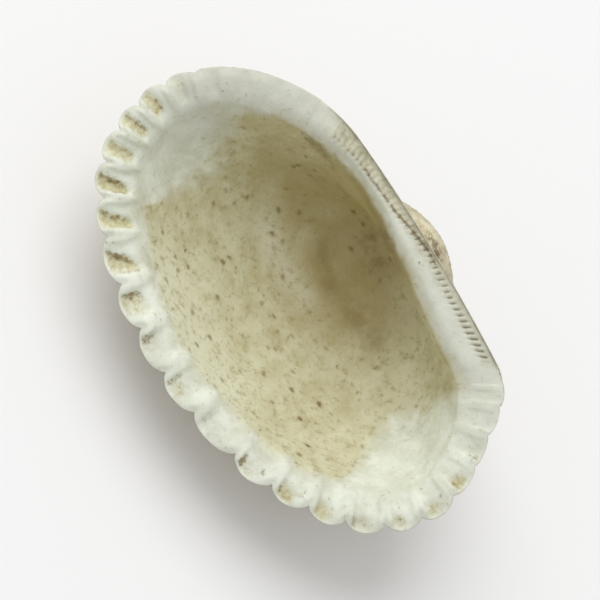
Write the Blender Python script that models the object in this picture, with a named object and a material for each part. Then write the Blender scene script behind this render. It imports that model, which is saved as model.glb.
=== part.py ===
"""One valve of an ark clam shell, lying on its ribbed back with the hollow up.

The valve grew as one piece, so it is one solid. It is laid out in its own frame, in millimetres:
X along the hinge, Y from the free margin towards the hinge, Z out of the hollow, with the plane in
which it met its other half at Z = 0. The object's own turn and place then lay it down at rest.
"""

import math

import bmesh
import bpy
import numpy as np

MM = 0.001

# Outline in which the valve met its other half, from one end of the hinge round to the other
LENGTH = 42.0
MARGIN_POINTS = (
    (8.0, -0.15), (4.0, -2.65), (0.55, -7.4), (-0.3, -12.7), (2.05, -18.35), (8.3, -22.25), (16.5, -23.9),
    (24.5, -23.55), (32.1, -21.25), (38.1, -17.2), (40.95, -12.1), (40.3, -7.8), (38.1, -4.1), (35.2, -0.45),
)
# Where the hollow starts beside each of those points, and the arched lip of the hinge plate
HOLLOW_POINTS = (
    (9.2, -3.2), (6.0, -4.9), (3.3, -8.5), (2.7, -12.3), (4.3, -16.3), (9.4, -19.4), (16.7, -20.9),
    (24.0, -20.6), (30.9, -18.5), (35.9, -15.2), (38.0, -11.4), (37.5, -8.7), (35.7, -5.9), (33.0, -3.7),
)
LIP_POINTS = ((33.0, -3.7), (28.0, -3.2), (22.5, -2.45), (17.0, -1.75), (12.8, -1.95), (9.2, -3.2))
HINGE_BOW = 0.058

# Spiral of growth: the beak that the back coils about, and how its depth and its width shrink
# towards the beak, by the turn in radians and by the turn squared. The hinge turns less than the rest.
BEAK = (1.4, 0.0, -2.2)
BACK_DEPTH = (0.50, 0.17)
BACK_WIDTH = (0.30, 0.26)
BACK_TURN = 3.2
HINGE_TURN = 0.3
# The hollow has a spiral of its own, closed sooner, which leaves the wall between the two
HOLLOW_BEAK = (1.4, -0.6, -4.2)
HOLLOW_DEPTH = (0.79, 0.13)
HOLLOW_WIDTH = (0.52, 0.25)
HOLLOW_TURN = 1.9
HOLLOW_TOP = -0.7

# Radial ribs, flat on top with rounded shoulders, worn smooth on the umbo
RIBS = 25
RIB_HEIGHT = 0.8
RIB_FOOT = 0.1
RIB_SHOULDER = 0.27
RIB_CROWN = 0.6
RIB_CROWDING = 0.21
WIDEST_RIB_AT = 0.52
WORN_SIZES = (0.06, 0.22)

# Rim: how far in from the margin each row lies, its height between the ribs and in a rib's groove,
# and how far across the hinge plate the row goes on
RIM_ROWS = ((0.3, 0.2, -0.1, 0.15), (0.65, 0.1, -0.1, 0.55))
NOTCH_DEPTH = 0.15
PLATE_LEVEL = -0.15
TEETH = 42
TOOTH_HEIGHT = 0.35
TOOTH_ROW = (0.10, 0.97)
FADED_TOOTH_ENDS = 7

# Fineness of the mesh
BACK_ROWS = 19
HOLLOW_ROWS = 9
HINGE_COLUMNS = 18

# How it lies at rest: turned about X and then Y, and set down on the floor
REST_TURN = (21.91, 1.09)
REST_PLACE = (0.754, 9.347, 15.293)


def smooth_curve(points, per_span=24):
    """A dense smooth line through the points, with its ends carried straight on."""
    p = np.array(points, float) - (LENGTH / 2, 0)
    p = np.vstack([2 * p[0] - p[1], p, 2 * p[-1] - p[-2]])
    t = np.linspace(0, 1, per_span, endpoint=False)[:, None]
    spans = []
    for a, b, c, d in zip(p[:-3], p[1:-2], p[2:-1], p[3:]):
        bend = (2 * a - 5 * b + 4 * c - d) * t**2 + (3 * b - a - 3 * c + d) * t**3
        spans.append(b + 0.5 * ((c - a) * t + bend))
    return np.vstack([*spans, p[-2:-1]])


def shares(line):
    """For each point of the line, the share of its length that lies before it."""
    run = np.concatenate([[0], np.cumsum(np.linalg.norm(np.diff(line, axis=0), axis=1))])
    return run / run[-1]


MARGIN = smooth_curve(MARGIN_POINTS)
HOLLOW = smooth_curve(HOLLOW_POINTS)
LIP = smooth_curve(LIP_POINTS)
MARGIN_SHARES = shares(MARGIN)
LIP_SHARES = shares(LIP)


def at(s, line, line_shares):
    """The line's points at the shares s. A line beside the margin goes by the margin's shares."""
    return np.column_stack([np.interp(s, line_shares, line[:, k]) for k in (0, 1)])


def smoothstep(low, high, x):
    t = np.clip((x - low) / (high - low), 0, 1)
    return t * t * (3 - 2 * t)


def ribs_passed(s):
    """Ribs between the start of the margin and share s. They are widest opposite the hinge."""
    shift = WIDEST_RIB_AT - 0.5
    wave = np.sin(2 * math.pi * (s - shift)) + math.sin(2 * math.pi * shift)
    return RIBS * (s + RIB_CROWDING / (2 * math.pi) * wave)


def share_after(ribs):
    s = np.linspace(0, 1, 4001)
    return np.interp(ribs, ribs_passed(s), s)


def rib_profile(s):
    """0 in the space between two ribs, and up to 1 on the crown of a rib."""
    t = ribs_passed(s) % 1
    flank = smoothstep(RIB_FOOT, RIB_SHOULDER, np.minimum(t, 1 - t))
    return flank * (1 - RIB_CROWN * (2 * t - 1) ** 2)


def shrink(rates, turn):
    return np.exp(-(rates[0] * turn + rates[1] * turn**2))


def coil(edge, beak, depth, width, turn, turn_factor):
    """The growing edge as it was turn radians of growth ago, nearer to the beak."""
    x, y, z = (edge - np.array(beak)).T
    a = turn * turn_factor
    turned_y = y * np.cos(a) - z * np.sin(a)
    turned_z = y * np.sin(a) + z * np.cos(a)
    size = shrink(depth, turn)
    return np.array(beak) + np.column_stack([x * shrink(width, turn), turned_y * size, turned_z * size])


def smooth_back(s, turn):
    edge = np.column_stack([at(s, MARGIN, MARGIN_SHARES), np.zeros(len(s))])
    from_hinge = smoothstep(0.0, 0.12, np.minimum(s, 1 - s))
    return coil(edge, BEAK, BACK_DEPTH, BACK_WIDTH, turn, HINGE_TURN + (1 - HINGE_TURN) * from_hinge)


def rib_strength(s):
    """Ribs are full along the free margin and low beside the hinge."""
    return 0.1 + 0.9 * smoothstep(0.0, 0.28, s) * (1 - 0.85 * smoothstep(0.72, 1.0, s))


def ribbed_back(s, turn):
    """The back with its ribs, raised square to the smooth back, or level with the margin at its edge."""
    step = 1e-3
    along = smooth_back(np.minimum(s + step, 1), turn) - smooth_back(np.maximum(s - step, 0), turn)
    growth = smooth_back(s, turn + step) - smooth_back(s, turn - step)
    out = np.cross(growth, along)
    out[:, 2] *= smoothstep(-0.02, 0.2, turn)
    out /= np.linalg.norm(out, axis=1)[:, None]
    size = shrink(BACK_DEPTH, turn)
    height = RIB_HEIGHT * rib_strength(s) * size**0.8 * smoothstep(*WORN_SIZES, size)
    return smooth_back(s, turn) + out * (height * (rib_profile(s) - 0.5))[:, None]


def hinge_line(first, last, h):
    """Points at shares h of the gently bowed line from first to last."""
    line = first + (last - first) * h[:, None]
    line[:, 1] += HINGE_BOW * np.linalg.norm(last - first) * h * (1 - h)
    return line


def rings_round_the_valve():
    """Rings from the tip of the beak over the back, round the rim and down the hollow. Each has the
    places of its points, 0 to 1 along the free margin and 1 to 2 back along the hinge, and the points."""
    across_rib = (RIB_FOOT, RIB_SHOULDER, 0.5, 1 - RIB_SHOULDER, 1 - RIB_FOOT)
    s = share_after(np.concatenate([[0], np.add.outer(np.arange(RIBS), across_rib).ravel(), [RIBS]]))
    few_s = share_after(np.arange(0, RIBS + 0.1, 0.5))
    few_h = np.linspace(0, 1, HINGE_COLUMNS + 1)[1:-1]
    row = np.linspace(0, 1, 2 * TEETH + 1)
    tooth_h = TOOTH_ROW[0] + (TOOTH_ROW[1] - TOOTH_ROW[0]) * row
    groove = rib_profile(s) * rib_strength(s)
    rings = []

    for turn in BACK_TURN * np.linspace(1, 0, BACK_ROWS) ** 1.15:
        free = ribbed_back(s, turn)
        if turn == 0:
            free[:, 2] = -NOTCH_DEPTH * groove
        hinge = hinge_line(free[-1], free[0], few_h)
        rings.append((np.append(s, 1 + few_h), np.vstack([free, hinge])))

    edge = free[:, :2]
    hollow = at(s, HOLLOW, MARGIN_SHARES)
    lip = at(tooth_h, LIP, LIP_SHARES)
    behind = hinge_line(edge[-1], edge[0], tooth_h)
    row_ends = np.minimum(1, FADED_TOOTH_ENDS * np.minimum(row, 1 - row))
    plate = PLATE_LEVEL + TOOTH_HEIGHT * row_ends * (np.arange(len(row)) % 2)
    for inward, high, low, across in RIM_ROWS:
        free = np.column_stack([edge + (hollow - edge) * inward, high + (low - high) * groove])
        hinge = np.column_stack([behind + (lip - behind) * across, plate])
        rings.append((np.append(s, 1 + tooth_h), np.vstack([free, hinge])))

    mouth = np.vstack([at(few_s, HOLLOW, MARGIN_SHARES), at(few_h, LIP, LIP_SHARES)])
    mouth = np.column_stack([mouth, np.full(len(mouth), HOLLOW_TOP)])
    for turn in np.linspace(0, HOLLOW_TURN, HOLLOW_ROWS):
        ring = coil(mouth, HOLLOW_BEAK, HOLLOW_DEPTH, HOLLOW_WIDTH, turn, 1.0)
        rings.append((np.append(few_s, 1 + few_h), ring))
    return rings


def stitch(bm, ring_a, ring_b):
    """Faces between two rings, by the places of their points. The finer ring gives fans of triangles."""
    places_a, verts_a = ring_a
    places_b, verts_b = ring_b
    i = 0
    j = 0
    while i < len(verts_a) or j < len(verts_b):
        a, next_a = verts_a[i % len(verts_a)], verts_a[(i + 1) % len(verts_a)]
        b, next_b = verts_b[j % len(verts_b)], verts_b[(j + 1) % len(verts_b)]
        lead = places_b[j + 1] - places_a[i + 1]
        if abs(lead) < 1e-9:
            bm.faces.new((a, next_a, next_b, b))
        elif lead > 0:
            bm.faces.new((a, next_a, b))
        else:
            bm.faces.new((a, next_b, b))
        i += lead > -1e-9
        j += lead < 1e-9


def close_ring(bm, verts):
    middle = bm.verts.new(sum((v.co for v in verts), 0 * verts[0].co) / len(verts))
    for a, b in zip(verts, verts[1:] + verts[:1]):
        bm.faces.new((a, b, middle))


def valve_mesh():
    bm = bmesh.new()
    rings = []
    for places, points in rings_round_the_valve():
        rings.append(([*places, 2.0, 3.0], [bm.verts.new(p * MM) for p in points]))
    for ring_a, ring_b in zip(rings, rings[1:]):
        stitch(bm, ring_a, ring_b)
    close_ring(bm, rings[0][1])
    close_ring(bm, rings[-1][1])
    bmesh.ops.recalc_face_normals(bm, faces=bm.faces)
    mesh = bpy.data.meshes.new("valve")
    bm.to_mesh(mesh)
    bm.free()
    mesh.shade_smooth()
    mesh.set_sharp_from_angle(angle=math.radians(40))
    return mesh


def shell_material():
    material = bpy.data.materials.new("weathered_shell")
    material.use_nodes = True
    surface = material.node_tree.nodes["Principled BSDF"]
    surface.inputs["Base Color"].default_value = (0.62, 0.58, 0.43, 1)
    surface.inputs["Roughness"].default_value = 0.75
    surface.inputs["Metallic"].default_value = 0.0
    return material


for old in list(bpy.data.objects):
    bpy.data.objects.remove(old)

valve = bpy.data.objects.new("valve", valve_mesh())
valve.data.materials.append(shell_material())
valve.rotation_euler = (math.radians(REST_TURN[0]), math.radians(REST_TURN[1]), 0)
valve.location = [place * MM for place in REST_PLACE]
bpy.context.scene.collection.objects.link(valve)
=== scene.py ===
import math

import bpy
import numpy as np
from mathutils import Euler, Matrix, Vector, noise


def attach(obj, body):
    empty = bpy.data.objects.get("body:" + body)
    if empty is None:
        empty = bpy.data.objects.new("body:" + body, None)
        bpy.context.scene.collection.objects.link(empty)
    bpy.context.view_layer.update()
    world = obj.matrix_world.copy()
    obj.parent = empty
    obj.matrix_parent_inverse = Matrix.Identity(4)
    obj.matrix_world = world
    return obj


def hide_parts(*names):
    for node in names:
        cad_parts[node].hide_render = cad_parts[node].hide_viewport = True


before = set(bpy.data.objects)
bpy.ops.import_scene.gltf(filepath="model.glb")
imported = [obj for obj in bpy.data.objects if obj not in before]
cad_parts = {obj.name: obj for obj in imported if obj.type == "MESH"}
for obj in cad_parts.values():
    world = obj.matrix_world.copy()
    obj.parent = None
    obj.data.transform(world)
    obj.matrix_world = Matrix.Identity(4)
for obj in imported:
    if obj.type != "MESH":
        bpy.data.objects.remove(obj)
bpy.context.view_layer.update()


# The margin is the valve's free edge, the last shell that the mantle laid down. It runs from one end
# of the hinge round to the other. All of the valve is laid out in millimetres in its own frame: X
# along the hinge, Y from the margin to the hinge, Z out of the hollow.
LENGTH = 42.0
MARGIN_POINTS = (
    (8.0, -0.15), (4.0, -2.65), (0.55, -7.4), (-0.3, -12.7), (2.05, -18.35), (8.3, -22.25), (16.5, -23.9),
    (24.5, -23.6), (32.2, -21.45), (38.3, -17.35), (40.95, -12.1), (40.25, -7.8), (38.05, -4.1),
    (35.2, -0.45),
)


def curve_between(a, b, c, d, t):
    """Points at shares t of the smooth line from b to c, which comes from a and goes on to d."""
    bend = (2 * a - 5 * b + 4 * c - d) * t**2 + (3 * b - a - 3 * c + d) * t**3
    return b + 0.5 * ((c - a) * t + bend)


def smooth_curve(points, per_span=24):
    """A dense smooth line through the points, with its ends carried straight on."""
    p = np.array(points, float) - (LENGTH / 2, 0)
    p = np.vstack([2 * p[0] - p[1], p, 2 * p[-1] - p[-2]])
    t = np.linspace(0, 1, per_span, endpoint=False)[:, None]
    spans = [curve_between(a, b, c, d, t) for a, b, c, d in zip(p[:-3], p[1:-2], p[2:-1], p[3:])]
    return np.vstack([*spans, p[-2:-1]])


def shares(line):
    """For each point of the line, the share of its length that lies before it."""
    run = np.concatenate([[0], np.cumsum(np.linalg.norm(np.diff(line, axis=0), axis=1))])
    return run / run[-1]


def at(s, line, line_shares):
    """The line's points at the shares s. A line beside the margin goes by the margin's shares."""
    return np.column_stack([np.interp(s, line_shares, line[:, k]) for k in (0, 1)])


def smoothstep(low, high, x):
    """0 where x is under low and 1 where it is over high, with an even ease between them."""
    t = np.clip((x - low) / (high - low), 0, 1)
    return t * t * (3 - 2 * t)


MARGIN = smooth_curve(MARGIN_POINTS)
MARGIN_SHARES = shares(MARGIN)


# The ribs fan out from the umbo and end as lobes of the margin. They are raised by folds in the
# mantle's edge, so each keeps its place in the fan for life. Their widths at the margin, in
# millimetres, go from the rounder end to the angular one. The mesh has columns of points along them.
RIB_WIDTHS = (
    2.7, 3.9, 2.3, 2.8, 2.7, 2.8, 2.6, 2.95, 3.0, 3.2, 4.1, 3.9, 4.1,
    4.0, 4.7, 3.95, 3.5, 3.3, 3.45, 3.1, 3.4, 3.0, 2.7, 2.5, 2.0,
)
RIBS = len(RIB_WIDTHS)
HINGE_COLUMNS = 300
HINGE_CORNER = 0.08
# places of the columns across half a rib, closest together on its steep side
HALF_RIB = (0, 0.055, 0.095, 0.125, 0.155, 0.19, 0.24, 0.31, 0.40, 0.5)

across_rib = np.array([*HALF_RIB, *(1 - t for t in HALF_RIB[-2:0:-1])])
rib_count = np.append(np.add.outer(np.arange(RIBS), across_rib).ravel(), RIBS)
rib_ends = np.concatenate([[0], np.cumsum(RIB_WIDTHS)]) / sum(RIB_WIDTHS)
free_share = np.interp(rib_count, np.arange(RIBS + 1), rib_ends)
hinge_share = np.arange(1, HINGE_COLUMNS) / HINGE_COLUMNS
FREE = len(free_share)
COLUMNS = FREE + len(hinge_share)

rib_index = np.minimum(rib_count.astype(int), RIBS - 1)
rib_side = np.minimum(rib_count % 1, 1 - rib_count % 1)
fan = np.concatenate([rib_count, RIBS * (1 - hinge_share)])
from_corner = smoothstep(0, HINGE_CORNER, np.minimum(hinge_share, 1 - hinge_share))
hinge_part = np.concatenate([np.zeros(FREE), from_corner])


# The back is the outside of the valve: the rows that the margin has left behind, each smaller and
# turned further back under the beak. Its ribs are flat-topped, with cross-bars in their furrows, and
# worn away on the umbo. Each stop in its growth left a low step that runs right round the valve.
BEAK = (1.4, 0.0, -2.2)
# how fast the growing edge shrinks towards the beak: its rates for the turn and for its square
BACK_DEPTH = (0.50, 0.17)
BACK_WIDTH = (0.30, 0.26)
BACK_TURN = 3.2
TURN_STEPS = 600
HINGE_TURN = 0.3
HINGE_REACH = 0.12
HINGE_BOW = 0.085
MIDDLE_SHARE = 0.52

# sinks: the share of a rib's or a lobe's height that lies under the smooth back
RIB_HEIGHT = 0.85
RIB_SINK = 0.675
RIB_SHRINK = 0.8
RIB_FOOT = 0.12
RIB_SHOULDER = 0.235
FLAT_CROWN = 0.25
FAINTEST_RIB = 0.18
ROUNDER_RIBS = (0.0, 0.28)
ANGULAR_RIBS = (0.72, 1.0)
ANGULAR_FADE = 0.8
LOBE_AGES = (0.3, 3.5)
LOBE_SINK = 0.5
LOBE_ROUNDNESS = 0.75
LOBE_CHANCE = 0.12
LEVEL_TURNS = (-0.02, 0.2)
NOTCH_LEVEL = 0.1
NOTCH_DEPTH = 0.3

FURROW_BAR = 0.26
BAR_STEP = 1.0
BAR_WANDER = 0.25
BAR_PACE = 1.7
BAR_SIDES = (-0.35, 0.5)
FIRST_BARS = (0.3, 1.5)
WORN_SIZES = (0.06, 0.22)
# each stop's age and its step's depth, in millimetres
GROWTH_STOPS = (
    (0.9, 0.12), (2.1, 0.22), (3.3, 0.12), (5.3, 0.34), (7.4, 0.14), (9.6, 0.30),
    (12.6, 0.16), (15.4, 0.28), (19.5, 0.14), (23.0, 0.14), (27.0, 0.08),
)
STOP_FADE = 1.3
STOP_LEAD = 0.5
# lumps: the height and size of each kind, and its seed
STOP_LUMPS = ((0.35, 3.0, 4),)
BACK_LUMPS = ((0.08, 4.0, 1), (0.06, 1.1, 2))

EDGE_ROWS = 10
EDGE_ROW_STEP = 0.16
BACK_ROW_STEP = 0.25
FINE_BACK = 18.0
COARSE_ROW_STEP = 0.42


def lumps(points, size, seed):
    """Smooth noise from about -1 to 1 at the points, with lumps about size millimetres across."""
    shift = Vector((seed * 7.31, seed * 3.17, seed * 5.73))
    flat = points.reshape(-1, 3) / size
    return np.array([noise.noise(Vector(p) + shift) for p in flat]).reshape(points.shape[:-1])


def uneven(points, kinds):
    """Lumps of several kinds, added up."""
    return sum(height * lumps(points, size, seed) for height, size, seed in kinds)


def shrink(rates, turn):
    """How small the growing edge was, turn radians of growth ago."""
    return np.exp(-(rates[0] * turn + rates[1] * turn**2))


def coil(edge, beak, depth, width, turn, turn_factor):
    """The growing edge as it was turn radians of growth ago, nearer to the beak."""
    x, y, z = (edge - np.array(beak)).T
    a = turn * turn_factor
    turned_y = y * np.cos(a) - z * np.sin(a)
    turned_z = y * np.sin(a) + z * np.cos(a)
    size = shrink(depth, turn)
    return np.array(beak) + np.column_stack([x * shrink(width, turn), turned_y * size, turned_z * size])


def smooth_back(s, turn):
    """The back without its ribs, at shares s of the margin."""
    edge = np.column_stack([at(s, MARGIN, MARGIN_SHARES), np.zeros(len(s))])
    from_hinge = smoothstep(0.0, HINGE_REACH, np.minimum(s, 1 - s))
    return coil(edge, BEAK, BACK_DEPTH, BACK_WIDTH, turn, HINGE_TURN + (1 - HINGE_TURN) * from_hinge)


def hinge_line(first, last, h):
    """Points at shares h of the gently bowed line from first to last."""
    line = first + (last - first) * h[:, None]
    line[:, 1] += HINGE_BOW * np.linalg.norm(last - first) * h * (1 - h)
    return line


angular_ribs = 1 - ANGULAR_FADE * smoothstep(*ANGULAR_RIBS, free_share)
rib_strength = FAINTEST_RIB + (1 - FAINTEST_RIB) * smoothstep(*ROUNDER_RIBS, free_share) * angular_ribs
rib_flank = smoothstep(RIB_FOOT, RIB_SHOULDER, rib_side)
round_lobe = (1 - (1 - 2 * rib_side) ** 2) ** LOBE_ROUNDNESS
chance = np.random.default_rng(11)
lobe_size = 1 + LOBE_CHANCE * chance.uniform(-1, 1, RIBS)[rib_index]
bar_shift = chance.uniform(0, 1, RIBS)[rib_index]
turns = np.linspace(0, BACK_TURN, TURN_STEPS)
middle_line = np.vstack([smooth_back(np.array([MIDDLE_SHARE]), turn) for turn in turns])
grown = np.concatenate([[0], np.cumsum(np.linalg.norm(np.diff(middle_line, axis=0), axis=1))])
back_ages = np.concatenate([
    np.arange(EDGE_ROWS) * EDGE_ROW_STEP,
    np.arange(EDGE_ROWS * EDGE_ROW_STEP, FINE_BACK, BACK_ROW_STEP),
    np.arange(FINE_BACK, grown[-1], COARSE_ROW_STEP),
])[::-1]
BACK_ROWS = len(back_ages)


def bars_across(age):
    """How much of a cross-bar there is in each furrow, age millimetres of growth from the margin."""
    beat = age / BAR_STEP + bar_shift + BAR_WANDER * math.sin(BAR_PACE * age)
    return smoothstep(*BAR_SIDES, np.sin(2 * math.pi * beat))


def back_row(age):
    """One row of the back, age millimetres of growth from the margin."""
    turn = np.interp(age, grown, turns)
    base = smooth_back(free_share, turn)
    step = 1e-3
    along = smooth_back(np.minimum(free_share + step, 1), turn)
    along = along - smooth_back(np.maximum(free_share - step, 0), turn)
    growth = smooth_back(free_share, turn + step) - smooth_back(free_share, turn - step)
    out = np.cross(growth, along)
    out[:, 2] *= smoothstep(*LEVEL_TURNS, turn)
    out /= np.linalg.norm(out, axis=1)[:, None]

    size = shrink(BACK_DEPTH, turn)
    worn = smoothstep(*WORN_SIZES, size)
    past_lobe = smoothstep(*LOBE_AGES, age)
    flat_rib = rib_flank * (1 - FLAT_CROWN * (1 - 2 * rib_side) ** 2)
    rib_sink = LOBE_SINK + (RIB_SINK - LOBE_SINK) * past_lobe
    profile = round_lobe + (flat_rib - round_lobe) * past_lobe
    height = RIB_HEIGHT * rib_strength * lobe_size * size**RIB_SHRINK * worn * (profile - rib_sink)
    bar = bars_across(age) * (1 - rib_flank)
    height = height + FURROW_BAR * bar * worn * rib_strength * smoothstep(*FIRST_BARS, age)

    along_margin = np.column_stack([rib_count, 0 * rib_count, 0 * rib_count])
    uneven_age = age + uneven(along_margin, STOP_LUMPS) + STOP_LEAD * (profile - 0.5)
    for stop, depth in GROWTH_STOPS:
        since = stop - uneven_age
        height = height - depth * worn * np.where(since > 0, np.exp(-since / STOP_FADE), 0)
    height = height + worn * uneven(base, BACK_LUMPS)
    free = base + out * height[:, None]
    if age == 0:
        free[:, 2] = NOTCH_LEVEL - NOTCH_DEPTH * round_lobe * rib_strength
    return np.vstack([free, hinge_line(free[-1], free[0], hinge_share)])


back = np.array([back_row(age) for age in back_ages])


# The rim is the thickened band just inside the margin, white and worn. A broad smooth tooth stands
# behind each notch between two lobes, and behind each lobe a short steep-sided groove runs in. They
# locked into those of the other valve. The hinge plate carries the rim on between its two ends.
HOLLOW_POINTS = (
    (9.2, -3.2), (6.0, -4.9), (3.3, -8.5), (2.7, -12.3), (4.3, -16.3), (9.4, -19.4), (16.7, -20.9),
    (24.0, -20.6), (30.9, -18.5), (35.9, -15.2), (38.0, -11.4), (37.5, -8.7), (35.7, -5.9), (33.0, -3.7),
)
LIP_POINTS = ((33.0, -3.7), (28.0, -3.2), (22.5, -2.45), (17.0, -1.75), (12.8, -1.95), (9.2, -3.2))
HOLLOW_BEAK = (1.4, -0.6, -4.2)
HOLLOW_DEPTH = (0.79, 0.13)
HOLLOW_WIDTH = (0.52, 0.25)
HOLLOW_TURN = 1.9
HOLLOW_TOP = -0.7
HOLLOW_ROWS = 52
FIRST_TURN = 0.07
# the two rows of the rim: their shares of the way in and their levels, on the free part and the hinge
RIM_INWARD = ((0.3, 0.22), (0.65, 0.72))
RIM_HEIGHTS = ((0.1, -0.08), (-0.16, 0.06))
ROWS_PER_SPAN = 6
# the easing of the rounder and of the angular corner, its reach in columns, and the rows before the
# margin between which it comes in
CORNER_EASE = (0.5, 0.2)
CORNER_REACH = (34, 7)
CORNER_FADE = (100, 14)
CORNER_SPREADS = (8, 6, 4, 3, 2, 1)
SPREAD_PASSES = 9

HOLLOW = smooth_curve(HOLLOW_POINTS)
LIP = smooth_curve(LIP_POINTS)
mouth = np.vstack([at(free_share, HOLLOW, MARGIN_SHARES), at(hinge_share, LIP, shares(LIP))])
mouth = np.column_stack([mouth, np.full(COLUMNS, HOLLOW_TOP)])


def hollow_row(turn):
    """One row of the hollow, turn radians of growth from its mouth."""
    return coil(mouth, HOLLOW_BEAK, HOLLOW_DEPTH, HOLLOW_WIDTH, turn, 1.0)


margin_row = back[-1]
marks = [back[-1 - EDGE_ROWS // 2], margin_row]
for (inward, inward_hinge), (level, level_hinge) in zip(RIM_INWARD, RIM_HEIGHTS):
    way_in = inward + (inward_hinge - inward) * hinge_part
    row = margin_row + (mouth - margin_row) * way_in[:, None]
    row[:, 2] = level + (level_hinge - level) * hinge_part
    marks.append(row)
marks += [hollow_row(turn) for turn in (0, FIRST_TURN, 2 * FIRST_TURN)]

rim = []
for a, b, c, d in zip(marks[:-3], marks[1:-2], marks[2:-1], marks[3:]):
    rim += [curve_between(a, b, c, d, t) for t in np.arange(1, ROWS_PER_SPAN + 1) / ROWS_PER_SPAN]
hollow_turns = FIRST_TURN + (HOLLOW_TURN - FIRST_TURN) * np.linspace(0, 1, HOLLOW_ROWS + 1)[1:]
hollow = [hollow_row(turn) for turn in hollow_turns]
grid = np.concatenate([back, rim, hollow])
ROWS = len(grid)
EDGE = BACK_ROWS - 1
MOUTH = EDGE + 3 * ROWS_PER_SPAN
HOLLOW_START = BACK_ROWS + len(rim)


def ease_corners(points):
    """Rounds off the two corners of the rings, where the hinge plate turns into the rim."""
    from_rounder = np.minimum(np.arange(COLUMNS), COLUMNS - np.arange(COLUMNS)) / CORNER_REACH[0]
    from_angular = np.abs(np.arange(COLUMNS) - FREE) / CORNER_REACH[1]
    weight = CORNER_EASE[0] * np.exp(-(from_rounder**2)) + CORNER_EASE[1] * np.exp(-(from_angular**2))
    weight = weight[None, :, None]
    depth = smoothstep(EDGE - CORNER_FADE[0], EDGE - CORNER_FADE[1], np.arange(ROWS))[:, None, None]
    for spread in CORNER_SPREADS:
        for _ in range(SPREAD_PASSES):
            around = 0.5 * (np.roll(points, spread, 1) + np.roll(points, -spread, 1))
            points = points + weight * depth * (around - points)
    return points


def outward(points):
    """The direction square to the surface, out of the shell, at each point of the grid."""
    across = np.roll(points, -1, axis=1) - np.roll(points, 1, axis=1)
    normal = np.cross(across, np.gradient(points, axis=0))
    normal /= np.linalg.norm(normal, axis=2)[:, :, None] + 1e-9
    return normal if normal[EDGE + ROWS_PER_SPAN, :, 2].mean() > 0 else -normal


grid = ease_corners(grid)
gap = np.zeros((ROWS, COLUMNS))
gap[EDGE + 1:] = np.cumsum(np.linalg.norm(np.diff(grid[EDGE:], axis=0), axis=2), axis=0)
inside = np.arange(ROWS)[:, None] > EDGE

# each lobe's groove: its depth and reach in millimetres, then how dirty its floor is and how dark its
# two walls are, with dirt and painted shade
GROOVES = (
    (0.04, 2.0, 0.00, 0.00, 0.0), (0.08, 2.2, 0.00, 0.00, 0.0), (0.11, 2.4, 0.00, 0.00, 0.0),
    (0.15, 2.8, 0.05, 0.05, 0.0), (0.22, 2.8, 0.20, 0.10, 0.0), (0.34, 2.9, 0.60, 0.50, 0.0),
    (0.40, 3.2, 0.60, 0.75, 0.1), (0.44, 3.2, 0.65, 0.40, 0.0), (0.46, 3.2, 0.90, 0.90, 0.6),
    (0.46, 3.3, 0.90, 0.60, 0.1), (0.44, 3.0, 0.65, 0.95, 0.4), (0.36, 2.6, 0.50, 0.90, 0.2),
    (0.30, 2.0, 0.15, 0.80, 0.0), (0.28, 2.0, 0.35, 0.60, 0.0), (0.24, 2.2, 0.10, 0.25, 0.0),
    (0.26, 1.9, 0.25, 0.90, 0.9), (0.28, 1.9, 0.70, 0.60, 0.3), (0.28, 2.0, 0.70, 0.20, 0.5),
    (0.28, 1.7, 0.30, 0.70, 0.2), (0.26, 1.8, 0.40, 0.10, 0.2), (0.26, 1.9, 0.40, 0.20, 0.7),
    (0.26, 1.8, 0.70, 0.50, 0.5), (0.22, 1.8, 0.15, 0.60, 0.1), (0.14, 1.5, 0.05, 0.30, 0.0),
    (0.05, 1.5, 0.00, 0.00, 0.0),
)
# how far each groove lies off its lobe's middle, in lobe widths, and how much more each millimetre in
GROOVE_SHIFTS = (0, 0, 0, 0.1, 0.26, 0.28, 0.23, 0.23, 0.25, 0.25, 0.23, 0.08, 0.03) + (0,) * 12
GROOVE_SLANTS = (0, 0, 0, 0, 0, 0, 0, 0.03, 0.10, 0.11, 0.11, 0.05, 0.02) + (0,) * 12
SLANT_MIDDLE = 1.5
# where a groove's two walls stand off its middle, and where the lobe ends, in lobe widths
STEEP_WALL = (-0.37, -0.25)
GENTLE_WALL = (-0.14, 0.32)
LOBE_END = (0.22, 0.46)
GROOVE_START = (0.05, 0.55)
GROOVE_STOP = 0.9
RAGGED_SIZE = 0.7
RAGGED_WALLS = 0.035
RAGGED_STOP = 0.15
RIM_TOOTH = 0.3
TOOTH_SIDES = (0.10, 0.28)
TOOTH_START = (0.1, 0.9)
TOOTH_STOP = (1.9, 3.5)

no_lobe = np.zeros(COLUMNS - FREE)


def on_lobes(values):
    """One value for each lobe, given to the lobe's columns, and 0 for the hinge's columns."""
    return np.append(np.array(values)[rib_index], no_lobe)


lobe_depth, lobe_reach, floor_dirt, first_wall_dark, last_wall_dark = (on_lobes(values) for values in zip(*GROOVES))
groove_shift, groove_slant = on_lobes(GROOVE_SHIFTS), on_lobes(GROOVE_SLANTS)
ragged = lumps(grid, RAGGED_SIZE, 7)
over_lobe = np.append(rib_count - rib_index - 0.5, no_lobe + 1) + RAGGED_WALLS * ragged
over_groove = over_lobe - groove_shift - groove_slant * (gap - SLANT_MIDDLE)
groove_end = smoothstep(lobe_reach - GROOVE_STOP, lobe_reach, gap + RAGGED_STOP * ragged)
along_groove = smoothstep(*GROOVE_START, gap) * (1 - groove_end)
along_groove = np.where(inside & (lobe_depth > 0), along_groove, 0)
groove = along_groove * smoothstep(*STEEP_WALL, over_groove) * (1 - smoothstep(*GENTLE_WALL, over_groove))
groove = groove * (1 - smoothstep(*LOBE_END, over_lobe))
side = np.append(rib_side, no_lobe)
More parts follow.
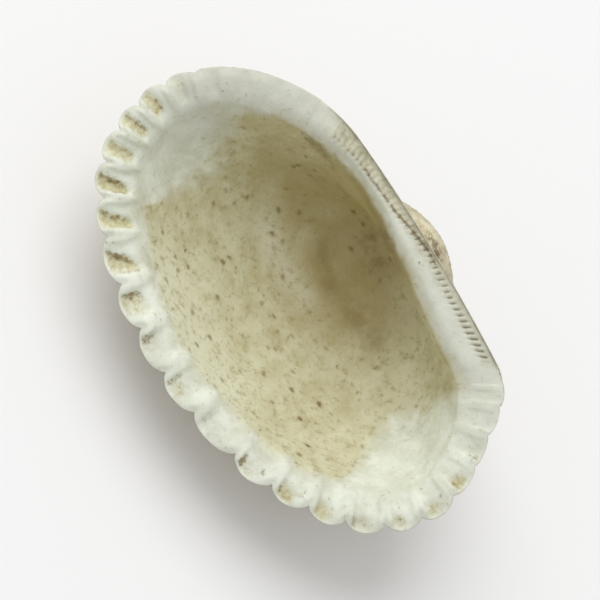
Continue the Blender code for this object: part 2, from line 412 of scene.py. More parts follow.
tooth = np.where(inside, (1 - smoothstep(*TOOTH_SIDES, side)) * smoothstep(*TOOTH_START, gap), 0)
tooth = tooth * (1 - smoothstep(*TOOTH_STOP, gap)) * np.append(rib_strength, no_lobe)


# The hinge teeth are a row of short upright plates of shell across the hinge plate. The slits between
# them hold dirt. They are worn fine in the middle of the row and are larger and slanted at its ends.
TEETH = 43
TOOTH_ROW = (0.06, 0.95)
ROW_FADE = 0.04
TOOTH_HEIGHT = 0.2
TOOTH_SINK = 0.62
BLADE_SIDES = (0.15, 0.6)
BAND_SIDES = (0.7, 1.15)
SLANT = 0.5
END_TEETH = (0.2, 0.8)
WORN_TEETH = 0.4
WORN_PART = (0.52, 0.68)
# the band of teeth at shares of the hinge: its middle inward from the edge, and half its width
TOOTH_BANDS = (
    (0.05, 0.80, 0.30), (0.30, 0.82, 0.26), (0.38, 0.65, 0.26), (0.46, 0.52, 0.26), (0.53, 0.66, 0.35),
    (0.62, 0.80, 0.42), (0.80, 0.90, 0.48), (0.92, 1.20, 0.60), (0.97, 1.40, 0.60),
)

h = np.append(np.zeros(FREE), hinge_share)
on_plate = inside & (h > 0)
row_share = (h - TOOTH_ROW[0]) / (TOOTH_ROW[1] - TOOTH_ROW[0])
band_places, band_centres, band_halves = zip(*TOOTH_BANDS)
half_band = np.interp(h, band_places, band_halves)
off_centre = gap - np.interp(h, band_places, band_centres)
ends = np.abs(2 * row_share - 1)
phase = TEETH * row_share + SLANT * np.sign(row_share - 0.5) * ends**2 * off_centre
blade = smoothstep(*BLADE_SIDES, np.abs(2 * (phase % 1) - 1))
band = 1 - smoothstep(*BAND_SIDES, np.abs(off_centre) / half_band)
band = np.where(on_plate & (row_share > 0) & (row_share < 1), band, 0)
band = band * smoothstep(0, ROW_FADE, row_share) * (1 - smoothstep(1 - ROW_FADE, 1, row_share))
tooth_size = TOOTH_HEIGHT * (0.5 + 0.5 * smoothstep(*END_TEETH, ends))
tooth_size = tooth_size * (1 - WORN_TEETH * smoothstep(*WORN_PART, h))


# The hollow held the animal. Its wall is smooth shell with a step where the mantle was fixed, and a
# dull scar near each end where a muscle was. Wear has left it slightly uneven and its edges round.
MANTLE_LINE = 3.3
MANTLE_STEP = 0.3
MANTLE_DEPTH = 0.05
# each scar's place: its share of the margin and its distance in, then its half size in both
SCARS = ((0.205, 7.2, 0.085, 3.4), (0.865, 9.0, 0.085, 4.6))
SCAR_SIDE = 0.8
SCAR_DEPTH = 0.07
HOLLOW_LUMPS = ((0.05, 5.0, 5), (0.03, 1.7, 6))
LUMPS_FROM = 1.0
ROUND_PASSES = 10
LOBE_ROUND_PASSES = 3

x, y = grid[:, :, 0], grid[:, :, 1]
share = np.append(free_share, np.where(hinge_share > 0.5, 0.0, 1.0))[None, :]
scar = np.zeros_like(x)
for scar_share, scar_gap, half_share, half_gap in SCARS:
    away = np.hypot((share - scar_share) / half_share, (gap - scar_gap) / half_gap)
    scar = np.maximum(scar, np.where(inside, 1 - smoothstep(SCAR_SIDE, 1.0, away), 0))
free_part = np.arange(COLUMNS) < FREE
mantle = smoothstep(MANTLE_LINE - MANTLE_STEP, MANTLE_LINE + MANTLE_STEP, gap)
mantle = np.where(inside & free_part, mantle, 0)
height = np.where(inside, uneven(grid, HOLLOW_LUMPS), 0) * smoothstep(0.0, LUMPS_FROM, gap)
height = height - groove * lobe_depth + RIM_TOOTH * tooth
height = height + band * (blade - TOOTH_SINK) * tooth_size
height = height - SCAR_DEPTH * scar - MANTLE_DEPTH * mantle
grid = grid + outward(grid) * height[:, :, None]

near_edge, before, after = (slice(EDGE - 2 + k, EDGE + 3 + k) for k in (0, -1, 1))
for round_pass in range(ROUND_PASSES):
    eased = 0.5 * grid[near_edge] + 0.25 * (grid[before] + grid[after])
    if round_pass >= LOBE_ROUND_PASSES:
        eased = np.where(free_part[:, None], grid[near_edge], eased)
    grid[near_edge] = eased


# The valve is one closed skin over the back, round the margin and rim and down into the hollow. It
# has every column where the teeth, grooves and ribs need them, and fewer elsewhere. It is turned and
# set down on its back, and made from millimetres into metres.
MM = 0.001
REST_TURN = (21.91, 1.09)
REST_PLACE = (0.754, 9.347, 15.299)

place = np.concatenate([free_share, 1 + hinge_share])
column = np.arange(COLUMNS)
hinge_number = column - FREE + 1


def columns_for(row):
    """The columns that a row of the skin uses."""
    if row > HOLLOW_START:
        free_step, hinge_step = 2, 3
    elif row > EDGE:
        free_step, hinge_step = 1, 1
    elif back_ages[row] < EDGE_ROW_STEP * EDGE_ROWS:
        free_step, hinge_step = 1, 3
    elif back_ages[row] < FINE_BACK:
        free_step, hinge_step = 1, 6
    else:
        free_step, hinge_step = 2, 6
    return column[np.where(column < FREE, column % free_step == 0, hinge_number % hinge_step == 0)]


rings = []
first = 0
for row in range(ROWS):
    used = columns_for(row)
    rings.append((used, np.arange(first, first + len(used))))
    first += len(used)


def faces_between(ring_a, ring_b):
    """Faces between two rings of points. Where one is finer, triangles fill in."""
    (used_a, a), (used_b, b) = ring_a, ring_b
    if len(a) == len(b):
        return list(zip(a, np.roll(a, -1), np.roll(b, -1), b))
    places_a, places_b = [*place[used_a], 2.0, 3.0], [*place[used_b], 2.0, 3.0]
    faces = []
    i = 0
    j = 0
    while i < len(a) or j < len(b):
        here_a, next_a = a[i % len(a)], a[(i + 1) % len(a)]
        here_b, next_b = b[j % len(b)], b[(j + 1) % len(b)]
        lead = places_b[j + 1] - places_a[i + 1]
        if abs(lead) < 1e-9:
            faces.append((here_a, next_a, next_b, here_b))
        elif lead > 0:
            faces.append((here_a, next_a, here_b))
        else:
            faces.append((here_a, next_b, here_b))
        i += lead > -1e-9
        j += lead < 1e-9
    return faces


skin_faces = []
for ring_a, ring_b in zip(rings, rings[1:]):
    skin_faces += faces_between(ring_a, ring_b)
tip, floor_point = first, first + 1
for (_, ring), middle in ((rings[0], tip), (rings[-1], floor_point)):
    pairs = zip(ring, np.roll(ring, -1))
    skin_faces += [(b, a, middle) if middle == tip else (a, b, middle) for a, b in pairs]


def on_skin(values):
    """The grid's values at the points of the skin, with the two points that close its ends."""
    picked = [values[row][used] for row, (used, _) in enumerate(rings)]
    return np.concatenate([*picked, picked[0].mean(0)[None], picked[-1].mean(0)[None]])


to_shell = Euler([math.radians(angle) for angle in REST_TURN] + [0]).to_matrix()
skin_points = (on_skin(grid) @ np.array(to_shell).T + REST_PLACE) * MM
mesh = bpy.data.meshes.new("valve_shell")
mesh.from_pydata(skin_points.tolist(), [], [[int(v) for v in face] for face in skin_faces])
a, b, c = (skin_points[[face[k] for face in skin_faces]] for k in (0, 1, 2))
if np.einsum("ij,ij->i", a, np.cross(b, c)).sum() < 0:
    mesh.flip_normals()
mesh.shade_smooth()
valve = bpy.data.objects.new("valve_shell", mesh)
bpy.context.scene.collection.objects.link(valve)
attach(valve, "root")
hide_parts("valve")


# Stains: shell is white where it is worn, tan where the hollow has soaked up dirt, and brown where
# dirt is packed into grooves, slits and the spaces between ribs. Some amounts are painted light and
# shade: painted shade deep in the umbo's hollow, under the lip and at the ends of the rim, a painted
# highlight and a painted shade streak on the wall of the hollow, and painted shade with the dirt on
# the groove walls and by the umbo. Each amount is kept on the skin.
# Lengths are in millimetres, and the tables are read at shares of the free margin or of the hinge.
TAN_BORDER = (
    (0.0, 2.7), (0.04, 2.9), (0.085, 3.4), (0.105, 3.9), (0.125, 5.0), (0.155, 6.6), (0.19, 8.6),
    (0.22, 10.0), (0.26, 10.2), (0.29, 9.6), (0.305, 7.2), (0.325, 4.2), (0.35, 4.4), (0.38, 4.4),
    (0.43, 3.8), (0.47, 3.4), (0.50, 2.9), (0.58, 3.2), (0.61, 2.6), (0.65, 2.9), (0.69, 3.1),
    (0.725, 3.6), (0.745, 5.8), (0.755, 9.0), (0.77, 11.4), (0.79, 12.4), (0.835, 11.7), (0.89, 9.2),
    (0.936, 6.6), (0.965, 4.6), (1.0, 3.3),
)
TAN_CORNER = 0.12
TAN_CLOUDS = ((0.9, 3.0, 8), (0.35, 1.0, 9))
CLOUD_REACH = 0.42
# the border is crisp near the margin, and softer and a little wider the further in it runs
SOFT_BORDERS = ((3.5, 1.0), (7.0, 3.4))
SOFT_REACH = 0.45

# the dirt of the grooves, with painted shade on their walls: the walls lie off the groove's and the
# lobe's middle, in lobe widths
GROOVE_DEPTHS = (0.02, 0.1)
FIRST_WALL = -0.275
LAST_WALL = 0.2
LAST_WALL_SHIFT = 0.5
LAST_WALL_START = (0.7, 1.5)
DARK_WALL_HALF = 0.08

# the slits are cleaner past the beak, on the side towards the edge
FAR_TEETH = (0.48, 0.56)
CLEAN_SLITS = 0.75
CLEAN_SIDE = (-0.2, 1.0)
# the seam of dirt along the teeth: its distance in from the edge, and how dirty it is
SEAM = (
    (0.0, 0.9), (0.32, 0.85), (0.36, 0.62), (0.457, 0.38), (0.53, 0.62), (0.623, 0.98), (0.8, 1.25),
    (0.97, 1.9),
)
SEAM_DIRT = (
    (0.0, 0), (0.33, 0.0), (0.40, 0.6), (0.46, 1.0), (0.6, 1.0), (0.75, 0.7), (0.84, 0.3), (0.9, 0.0),
)
SEAM_HALF = 0.17
# the plate is dull outside the seam, and a little along all of its outer edge
DULL_SIDE = (-0.1, 0.25)
DULL_RAGGED = 0.1
DULL_FROM = (0.3, 0.5)
DULL_EDGE = 0.5
DULL_EDGE_SIDE = (1.0, 1.4)
DULL_START = (0.02, 0.1)
DULL_STOP = (0.9, 0.985)
DULL_STOP_RAGGED = 0.02

# how far the tan runs out over the lip of the hollow, and how strong the painted shade on the wall under
# the lip is
LIP_TAN = ((0.0, 0.3), (0.28, 0.35), (0.36, 0.75), (0.47, 0.7), (0.55, 0.4), (0.7, 0.35), (1.0, 0.2))
LIP_SHADE = (
    (0.0, 0.0), (0.06, 0.3), (0.2, 0.4), (0.33, 0.6), (0.44, 1.0), (0.55, 1.0), (0.75, 0.7), (0.95, 0.4),
    (1.0, 0.0),
)
LIP_WALL_START = (-0.4, 0.2)
LIP_WALL_STOP = (0.9, 2.6)
LIP_CLOUDS = 0.25

# the umbo's hollow, where brown stain and painted shade darken the tan: its middle, its narrowing towards
# the rounder and the angular end, and its reach
DEEP_MIDDLE = (0.5, -2.5)
DEEP_NARROWING = (0.55, 1.5)
DEEP_REACH = (4.5, 12.0)
# streaks on the wall of the hollow, all painted light and shade: a painted highlight, painted shade, a
# painted lit patch and painted shadow under the lip. Each part's strength, half width and line in X and Y
STREAKS = {
    "highlight_streak": ((1.0, 1.3, ((-7.2, -9.2), (-5.3, -9.6), (-2.5, -9.6), (-0.6, -9.5))),),
    "shade_streak": (
        (1.0, 1.1, ((-3.2, -6.2), (-1.0, -7.0), (1.0, -7.1), (5.2, -6.6))),
        (0.35, 1.0, ((9.2, -4.4), (11.0, -4.4), (13.4, -4.9))),
    ),
    "lit_wall": ((1.0, 1.7, ((3.8, -2.2), (5.2, -2.6), (8.0, -3.8), (9.2, -5.5), (10.0, -7.0))),),
    "lip_shadow": (
        (0.9, 0.3, ((-11.7, -3.6), (-10.1, -3.1), (-8.3, -2.8))),
        (1.0, 0.8, ((-1.6, -2.6), (0.2, -3.0))),
    ),
}
STREAKS_FROM = 1.5
# the pale edge of the tan along the middle of the margin, fainter towards the angular end
PALE_REACH = 10.0
PALE_START = (0.3, 0.45)
PALE_STOP = (0.85, 0.95)
PALE_FAINTER = 0.6
PALE_FAINT_FROM = (0.57, 0.63)
# painted shade on the white of the rim at the rounder end and at the angular end; on the plate it is
# partly painted shade and partly a greyer tint of the shell
SHADE_ROUNDER_END = (0.12, 0.26)
SHADE_ANGULAR_END = (0.9, 0.98)
SHADE_ANGULAR = 0.6
SHADE_PLATE = 0.8

UMBO_AGES = (25, 33)
UMBO_MIDDLE = 1.0
UMBO_HALF = 4.0
# a dark patch of dirt and painted shade in the gap between the umbo and the hinge plate: its middle, its
# stretch in Z and its spread
GAP_DARK_MIDDLE = (1.6, 0.3, -2.2)
GAP_DARK_STRETCH = 0.7
GAP_DARK_SPREAD = 1.2
DIRTY_RIBS = (0.1, 0.5)
WORN_AGES = (24.0, 31.0)
# specks lie everywhere, and most thickly about one place: its middle and half size in X and in Y.
# Beside it they are thicker along a band, with its middle and half size in X
SPECKS = 0.28
THICK_SPECKS = ((9.0, 4.0), (-15.0, 2.6))
SIDE_SPECKS = 0.45
SIDE_SPECKS_AT = (-6.0, 8.0)


def read(table, places):
    """The table's values at the places, which may lie between its rows."""
    return np.interp(places, *zip(*table))


def fading(away, half):
    """1 where away is 0, fading out on both sides."""
    return np.exp(-((away / half) ** 2))


def streak(strength, half, points):
    """An amount that is full on the line through the points of the hollow and fades out beside it."""
    nearest = np.full(x.shape, 99.0)
    for (x0, y0), (x1, y1) in zip(points, points[1:]):
        run = (x1 - x0) ** 2 + (y1 - y0) ** 2
        t = np.clip(((x - x0) * (x1 - x0) + (y - y0) * (y1 - y0)) / run, 0, 1)
        nearest = np.minimum(nearest, np.hypot(x - x0 - t * (x1 - x0), y - y0 - t * (y1 - y0)))
    return np.where(inside & (gap > STREAKS_FROM), strength * fading(nearest, half), 0)


cloudy = uneven(grid, TAN_CLOUDS)
border = read(TAN_BORDER, free_share)
corner = smoothstep(0.0, TAN_CORNER, np.minimum(hinge_share, 1 - hinge_share))
at_ends = border[-1] + (border[0] - border[-1]) * hinge_share
lip_gap = gap[MOUTH, FREE:]
border = np.append(border, at_ends + corner * (lip_gap - read(LIP_TAN, hinge_share) - at_ends))
softness = read(SOFT_BORDERS, border)
in_tan = (gap - border) / softness + SOFT_REACH * (1 - 1 / softness) + CLOUD_REACH * cloudy
tan = np.where(inside, np.clip(in_tan, -1, 2), -1)

floor_of_groove = groove * smoothstep(*GROOVE_DEPTHS, lobe_depth) * floor_dirt
# the groove walls are darkened with dirt and painted shade
first_wall = fading(over_groove - FIRST_WALL, DARK_WALL_HALF) * first_wall_dark
last_wall = fading(over_lobe - LAST_WALL - LAST_WALL_SHIFT * groove_shift, DARK_WALL_HALF) * last_wall_dark
last_wall = last_wall * smoothstep(*LAST_WALL_START, gap)
wall_dirt_and_shade = along_groove * np.maximum(first_wall, last_wall)

clean = CLEAN_SLITS * smoothstep(*FAR_TEETH, h) * (1 - smoothstep(*CLEAN_SIDE, off_centre / half_band))
slit = band * (1 - blade) * (1 - clean)
from_seam = gap - read(SEAM, h)
seam = fading(from_seam, SEAM_HALF) * read(SEAM_DIRT, h) * on_plate
plate = (1 - smoothstep(*DULL_SIDE, from_seam - DULL_RAGGED * ragged)) * smoothstep(*DULL_FROM, h)
plate = plate + DULL_EDGE * (1 - smoothstep(*DULL_EDGE_SIDE, gap))
plate = np.clip(np.where(on_plate, plate, 0), 0, 1) * smoothstep(*DULL_START, h)
plate = plate * (1 - smoothstep(*DULL_STOP, h + DULL_STOP_RAGGED * ragged))

past_lip = gap[:, FREE:] - lip_gap + LIP_CLOUDS * cloudy[:, FREE:]
# painted shade on the wall under the lip of the hollow
lip_wall_shade = np.zeros_like(x)
lip_wall_shade[:, FREE:] = smoothstep(*LIP_WALL_START, past_lip) * (1 - smoothstep(*LIP_WALL_STOP, past_lip))
lip_wall_shade = np.where(on_plate, lip_wall_shade * read(LIP_SHADE, h), 0)
# painted shade with brown stain, deep in the umbo's hollow
from_deep = x - DEEP_MIDDLE[0]
from_deep = from_deep * np.where(from_deep > 0, DEEP_NARROWING[1], DEEP_NARROWING[0])
deep = 1 - smoothstep(*DEEP_REACH, np.hypot(from_deep, y - DEEP_MIDDLE[1]))
# painted light and shade streaked on the wall of the hollow
streaks = {name: np.max([streak(*part) for part in parts], axis=0) for name, parts in STREAKS.items()}

pale_edge = (1 - np.clip((gap - border) / PALE_REACH, 0, 1)) * smoothstep(*PALE_START, share)
pale_edge = pale_edge * (1 - smoothstep(*PALE_STOP, share))
pale_edge = pale_edge * (1 - PALE_FAINTER * smoothstep(*PALE_FAINT_FROM, share))
# painted shade at the two ends of the rim, and on the plate
rounder_end = 1 - smoothstep(*SHADE_ROUNDER_END, share)
angular_end = SHADE_ANGULAR * smoothstep(*SHADE_ANGULAR_END, share)
rim_shade_and_grey = np.where(free_part, np.maximum(rounder_end, angular_end), SHADE_PLATE)
specks = fading(x - THICK_SPECKS[0][0], THICK_SPECKS[0][1])
specks = specks * fading(y - THICK_SPECKS[1][0], THICK_SPECKS[1][1])
specks = SPECKS + specks + SIDE_SPECKS * fading(x - SIDE_SPECKS_AT[0], SIDE_SPECKS_AT[1])

age_of = np.append(back_ages, np.zeros(ROWS - BACK_ROWS))[:, None] + np.zeros_like(x)
umbo = smoothstep(*UMBO_AGES, age_of) * fading(x - UMBO_MIDDLE, UMBO_HALF)
from_gap_dark = [values - middle for values, middle in zip((x, y, grid[:, :, 2]), GAP_DARK_MIDDLE)]
from_gap_dark = from_gap_dark[0] ** 2 + from_gap_dark[1] ** 2 + (GAP_DARK_STRETCH * from_gap_dark[2]) ** 2
furrow = np.append((1 - rib_flank) * smoothstep(*DIRTY_RIBS, rib_strength), no_lobe)
furrow = furrow * (1 - smoothstep(*WORN_AGES, age_of))
bars = np.zeros_like(x)
bars[:BACK_ROWS, :FREE] = [bars_across(age) for age in back_ages]

KEPT_AMOUNTS = {
    "tan": tan,
    "groove_floor": floor_of_groove,
    "groove_wall_dirt_and_shade": wall_dirt_and_shade,
    "slit": np.clip(slit, 0, 1),
    "seam": seam,
    "plate": plate,
    "pale_edge": np.where(inside & free_part, pale_edge, 0),
    "rim_shade_and_grey": np.where(inside, rim_shade_and_grey, 0),
    **streaks,
    "lip_wall_shade": lip_wall_shade,
    "deep": np.where(inside, deep, 0),
    "specks": np.clip(specks, 0, 1),
    "umbo": np.where(inside, 0, umbo),
    "umbo_gap_dirt_and_shade": np.where(inside, 0, np.exp(-from_gap_dark / GAP_DARK_SPREAD)),
    "furrow": np.where(inside, 0, furrow),
    "bars": bars,
    "age": age_of,
    "fan": np.broadcast_to(fan, x.shape),
    "outside": np.broadcast_to(~inside, x.shape).astype(float),
}
for name, amount in KEPT_AMOUNTS.items():
    kept = mesh.attributes.new(name, "FLOAT", "POINT")
    kept.data.foreach_set("value", on_skin(amount[:, :, None])[:, 0].astype(np.float32))


# The shell itself is chalky and matt, and was laid down in layers. Its colours follow the amounts kept
# on the skin, with their edges broken up by grain of several sizes. Brown dirt lies in small pits.
GLOSS = 0.35
ROUGHNESS = 0.62
RELIEF = 0.1
RELIEF_STRENGTH = 0.8
FINE_RELIEF = 0.6
FINEST_RELIEF = 0.3


def paint(red, green, blue):
    """A colour from its usual 0 to 255 amounts."""
    return tuple((part / 255) ** 2.2 for part in (red, green, blue)) + (1,)


def put(tree, kind, inputs=None, **settings):
    """Adds a node, with each input linked to a socket or set to a value."""
    made = tree.nodes.new("ShaderNode" + kind)
    for name, value in settings.items():
        setattr(made, name, value)
    for name, value in (inputs or {}).items():
        if isinstance(value, bpy.types.NodeSocket):
            tree.links.new(value, made.inputs[name])
        else:
            made.inputs[name].default_value = value
    return made


def shell_material():
    material = bpy.data.materials.new("weathered_shell")
    material.use_nodes = True
    tree = material.node_tree
    surface = tree.nodes["Principled BSDF"]
    where = put(tree, "TexCoord").outputs["Object"]

    def kept_amount(name):
        return put(tree, "Attribute", attribute_name=name).outputs["Fac"]

    def grain(per_mm, detail, roughness=0.55):
        inputs = {"Vector": where, "Scale": per_mm / MM, "Detail": detail, "Roughness": roughness}
        return put(tree, "TexNoise", inputs).outputs["Fac"]

    def times(first, second):
        return put(tree, "Math", {0: first, 1: second}, operation="MULTIPLY").outputs[0]

    def less(first, second):
        return put(tree, "Math", {0: first, 1: second}, operation="SUBTRACT").outputs[0]

    def scaled_plus(value, scale, added):
        inputs = {0: value, 1: scale, 2: added}
        return put(tree, "Math", inputs, operation="MULTIPLY_ADD").outputs[0]

    def ranged(value, low, high):
        """Value brought to 0 at low and to 1 at high."""
        inputs = {"Value": value, "From Min": low, "From Max": high}
        return put(tree, "MapRange", inputs, interpolation_type="SMOOTHSTEP").outputs["Result"]

    def ragged_amount(name, spread, low, high):
        """A kept amount with its edge broken up by the fine grain."""
        shifted = scaled_plus(fine, spread, kept_amount(name))
        return ranged(shifted, low + 0.5 * spread, high + 0.5 * spread)

    def over(colour, amount, top):
        return put(tree, "Mix", {0: amount, 6: colour, 7: top}, data_type="RGBA").outputs[2]

    def stain(colour, amount, strength, shade):
        """The colour with a shade laid over it where the amount is, and as strongly as given."""
        return over(colour, times(amount, strength), paint(*shade))

    def mottled(grains, low, high, first, second):
        """The first shade with the second in patches, where the grain is high."""
        return over(paint(*first), ranged(grains, low, high), paint(*second))

    broad = grain(0.16, 4.0)
    patches = grain(0.5, 5.0, 0.62)
    mid_grain = grain(1.1, 4.0, 0.6)
    fine = grain(2.2, 4.0, 0.65)
    finest = grain(7.0, 2.0)
    warp = put(tree, "TexNoise", {"Vector": where, "Scale": 1.7 / MM, "Detail": 1.0}).outputs["Color"]

    # chalky white shell, a little greyer and yellower in patches
    white = mottled(patches, 0.35, 0.65, (235, 239, 223), (220, 223, 204))
    # painted shade on the white at the ends of the rim, and on the plate partly painted shade and partly
    # a greyer tint
    white = stain(white, kept_amount("rim_shade_and_grey"), 0.8, (207, 208, 194))
    back_white = mottled(patches, 0.35, 0.7, (224, 218, 199), (200, 190, 162))
    colour = over(white, kept_amount("outside"), back_white)

    # tan of the hollow, browner and darker towards the umbo with stain and painted shade
    tan_colour = mottled(patches, 0.3, 0.7, (212, 209, 175), (192, 185, 143))
    # painted shade and brown stain deep in the umbo's hollow, in broad patches
    deep_amount = times(kept_amount("deep"), ranged(broad, 0.2, 0.6))
    # painted shade along a streak on the wall of the hollow, in patches
    shade_streak_amount = times(kept_amount("shade_streak"), ranged(patches, 0.2, 0.75))
    # the tan's own stains and mottles, with painted shade, a painted lit patch, a painted highlight and
    # painted shade under the lip among them
    for amount, strength, shade in (
        (deep_amount, 0.7, (163, 142, 82)),
        (kept_amount("pale_edge"), 0.9, (232, 233, 206)),
        (kept_amount("lit_wall"), 0.6, (222, 216, 182)),
        (kept_amount("highlight_streak"), 0.6, (220, 218, 190)),
        (shade_streak_amount, 0.75, (144, 127, 76)),
        (kept_amount("lip_wall_shade"), 0.55, (124, 106, 54)),
        (ranged(mid_grain, 0.48, 0.74), 0.5, (168, 158, 112)),
        (ranged(fine, 0.5, 0.75), 0.4, (164, 154, 110)),
    ):
        tan_colour = stain(tan_colour, amount, strength, shade)
    soaked = scaled_plus(mid_grain, 1.1, kept_amount("tan"))
    is_tan = ranged(soaked, 0.4, 1.6)
    faint = times(ranged(soaked, -0.6, 0.6), ranged(patches, 0.3, 0.6))
    colour = stain(colour, faint, 0.4, (196, 192, 164))
    colour = over(colour, is_tan, tan_colour)

    # dirt packed into the grooves of the rim, with painted shade on their walls, and into the slits and
    # the seam of the hinge
    dirt_and_shade = mottled(fine, 0.35, 0.65, (162, 141, 84), (112, 93, 50))
    pocket = mottled(fine, 0.35, 0.65, (216, 211, 174), (188, 177, 126))
    colour = over(colour, times(ragged_amount("groove_floor", 0.8, 0.0, 0.65), 0.85), pocket)
    # dirt and painted shade on the walls of the grooves
    colour = over(colour, times(ragged_amount("groove_wall_dirt_and_shade", 1.6, 0.2, 0.9), 0.75), dirt_and_shade)
    dull = mottled(mid_grain, 0.35, 0.65, (202, 198, 170), (164, 156, 122))
    colour = over(colour, times(kept_amount("plate"), 0.8), dull)
    colour = stain(colour, ragged_amount("slit", 0.9, 0.3, 0.9), 0.55, (112, 104, 74))
    colour = stain(colour, ragged_amount("seam", 2.2, 0.3, 0.9), 0.7, (116, 98, 70))
    # painted shadow under the lip, broken into patches
    lip_shadow_amount = times(ragged_amount("lip_shadow", 1.6, 0.0, 1.1), ranged(patches, 0.36, 0.6))
    colour = stain(colour, lip_shadow_amount, 0.5, (110, 90, 50))

    # the back: growth lines, a cream umbo, dirt between its ribs and bars, and dirt with painted shade in
    # the gap between the umbo and the hinge plate
    stripe = put(tree, "CombineXYZ", {"X": kept_amount("age"), "Y": times(kept_amount("fan"), 0.12)})
    lines = put(tree, "TexNoise", {"Vector": stripe.outputs[0], "Scale": 1.6, "Detail": 3.0})
    banded = times(kept_amount("outside"), ranged(lines.outputs["Fac"], 0.5, 0.68))
    colour = stain(colour, banded, 0.45, (172, 162, 128))
    cream = mottled(mid_grain, 0.35, 0.65, (220, 212, 180), (178, 166, 128))
    colour = over(colour, times(kept_amount("umbo"), 0.9), cream)
    furrow = kept_amount("furrow")
    colour = stain(colour, times(furrow, ranged(broad, 0.25, 0.5)), 0.7, (186, 172, 134))
    between = times(furrow, less(1.0, times(kept_amount("bars"), 0.75)))
    clods = times(ranged(fine, 0.38, 0.55), ranged(patches, 0.3, 0.55))
    colour = over(colour, times(times(between, clods), 0.95), dirt_and_shade)
    grime = times(between, times(ranged(mid_grain, 0.5, 0.6), ranged(broad, 0.46, 0.6)))
    colour = stain(colour, grime, 0.85, (66, 56, 42))
    chips = times(kept_amount("outside"), ranged(mid_grain, 0.6, 0.7))
    colour = stain(colour, chips, 0.5, (176, 162, 124))
    # dirt and painted shade in the gap between the umbo and the hinge plate
    colour = stain(colour, ragged_amount("umbo_gap_dirt_and_shade", 2.4, 0.3, 0.9), 0.7, (104, 86, 56))

    def vector(operation, inputs):
        return put(tree, "VectorMath", inputs, operation=operation).outputs[0]

    def pits(per_mm, reach, first, last):
        """Small pits drawn out along the hinge's way, in the cells whose chance is over first."""
        drift = vector("SUBTRACT", {0: warp, 1: (0.5, 0.5, 0.5)})
        drift = vector("SCALE", {0: drift, "Scale": 0.5 * MM / per_mm})
        shifted_to = vector("ADD", {0: where, 1: drift})
        drawn_out = put(tree, "Mapping", {"Vector": shifted_to, "Scale": (0.75, 1, 1)}).outputs[0]
        cells = put(tree, "TexVoronoi", {"Vector": drawn_out, "Scale": per_mm / MM, "Randomness": 1.0})
        pick = put(tree, "SeparateColor", {"Color": cells.outputs["Color"]}).outputs["Red"]
        near = ranged(cells.outputs["Distance"], reach, reach * 0.25)
        return times(near, ranged(pick, first, last))

    specks = kept_amount("specks")
    pinprick = times(pits(2.3, 0.34, 0.4, 0.95), ranged(patches, 0.36, 0.6))
    halo = times(pits(1.15, 0.55, 0.5, 0.8), specks)
    speck = times(times(pits(1.15, 0.32, 0.58, 0.8), specks), is_tan)
    colour = stain(colour, times(halo, is_tan), 0.4, (166, 154, 106))
    colour = stain(colour, times(pinprick, is_tan), 0.32, (132, 116, 74))
    colour = stain(colour, speck, 0.85, (112, 84, 38))

    relief = less(scaled_plus(fine, FINE_RELIEF, times(finest, FINEST_RELIEF)), speck)
    bump_inputs = {"Height": relief, "Strength": RELIEF_STRENGTH, "Distance": RELIEF * MM}
    tree.links.new(colour, surface.inputs["Base Color"])
    tree.links.new(put(tree, "Bump", bump_inputs).outputs["Normal"], surface.inputs["Normal"])
    surface.inputs["Roughness"].default_value = ROUGHNESS
    surface.inputs["Metallic"].default_value = 0.0
    surface.inputs["Specular IOR Level"].default_value = GLOSS
    return material


mesh.materials.append(shell_material())


# The table that the valve lies on: a wide board, painted pale and matt. It is a stand for the picture
# and no part of the valve.
BOARD_HALF = 1.5

board_mesh = bpy.data.meshes.new("board")
corners = [(sx * BOARD_HALF, sy * BOARD_HALF, 0) for sx, sy in ((-1, -1), (1, -1), (1, 1), (-1, 1))]
board_mesh.from_pydata(corners, [], [(0, 1, 2, 3)])
board = bpy.data.objects.new("board", board_mesh)
bpy.context.scene.collection.objects.link(board)
board_paint = bpy.data.materials.new("pale_board")
board_paint.use_nodes = True
board_surface = board_paint.node_tree.nodes["Principled BSDF"]
board_surface.inputs["Base Color"].default_value = (0.95, 0.95, 0.95, 1)
board_surface.inputs["Roughness"].default_value = 0.9
board_surface.inputs["Specular IOR Level"].default_value = 0.1
board_mesh.materials.append(board_paint)


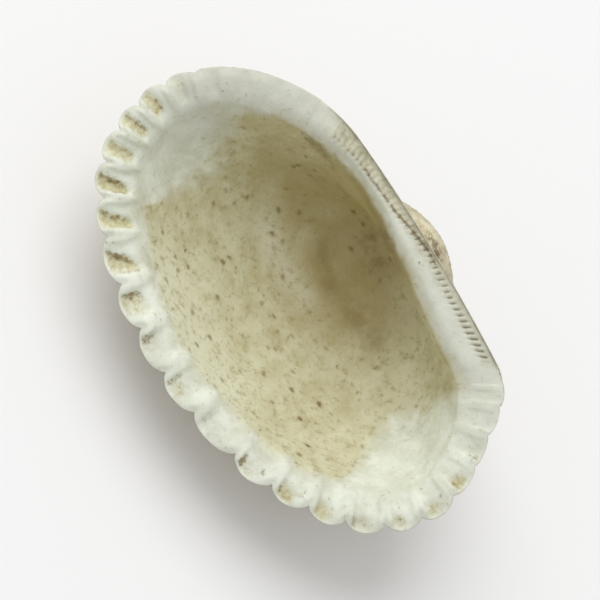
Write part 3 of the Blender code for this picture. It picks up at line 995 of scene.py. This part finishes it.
# The camera looks steeply down into the hollow from the margin's side, rolled so that the hinge runs
# from the upper left to the lower right. Soft light comes from a wide window over the hinge, and from
# all round the room. Lengths are in metres here, and the sensor's width in millimetres.
VIEW_TILT = 7.0
HINGE_SLOPE = 57.7
CAMERA_AWAY = 0.5
FRAME_WIDTH = 0.0485
SENSOR = 36.0
WINDOW_WAY = (0.7, 0.2, 0.9)
WINDOW_AWAY = 0.8
WINDOW_WIDTH = 0.8
WINDOW_WATTS = 3.9
ROOM_LIGHT = 0.58

tilt = math.radians(VIEW_TILT)
towards = to_shell @ Vector((0, -math.sin(tilt), math.cos(tilt)))
hinge_way = to_shell @ Vector((1, 0, 0))
back_way = towards.cross(hinge_way)
slope = math.radians(HINGE_SLOPE)
right = math.cos(slope) * hinge_way + math.sin(slope) * back_way
up = -math.sin(slope) * hinge_way + math.cos(slope) * back_way
seen_x, seen_y, seen_near = (skin_points @ np.array(way) for way in (right, up, towards))
middle = right * float(seen_x.min() + seen_x.max()) / 2 + up * float(seen_y.min() + seen_y.max()) / 2
middle = middle + towards * float(seen_near.mean())

camera_data = bpy.data.cameras.new("camera")
camera_data.sensor_width = SENSOR
camera_data.lens = SENSOR * CAMERA_AWAY / FRAME_WIDTH
camera_data.clip_start = 0.01
camera = bpy.data.objects.new("camera", camera_data)
camera.location = middle + towards * CAMERA_AWAY
camera.rotation_euler = Matrix((right, up, towards)).transposed().to_euler()
bpy.context.scene.collection.objects.link(camera)
bpy.context.scene.camera = camera

window_data = bpy.data.lights.new("window", "AREA")
window_data.shape = "DISK"
window_data.size = WINDOW_WIDTH
window_data.energy = WINDOW_WATTS
window = bpy.data.objects.new("window", window_data)
window_way = WINDOW_WAY[0] * towards + WINDOW_WAY[1] * right + WINDOW_WAY[2] * up
window_way = window_way.normalized()
window.location = middle + window_way * WINDOW_AWAY
window.rotation_euler = window_way.to_track_quat("Z", "Y").to_euler()
bpy.context.scene.collection.objects.link(window)

room = bpy.data.worlds.new("soft_room")
room.use_nodes = True
room.node_tree.nodes["Background"].inputs["Color"].default_value = (1, 1, 1, 1)
room.node_tree.nodes["Background"].inputs["Strength"].default_value = ROOM_LIGHT
bpy.context.scene.world = room
bpy.context.scene.view_settings.view_transform = "Standard"
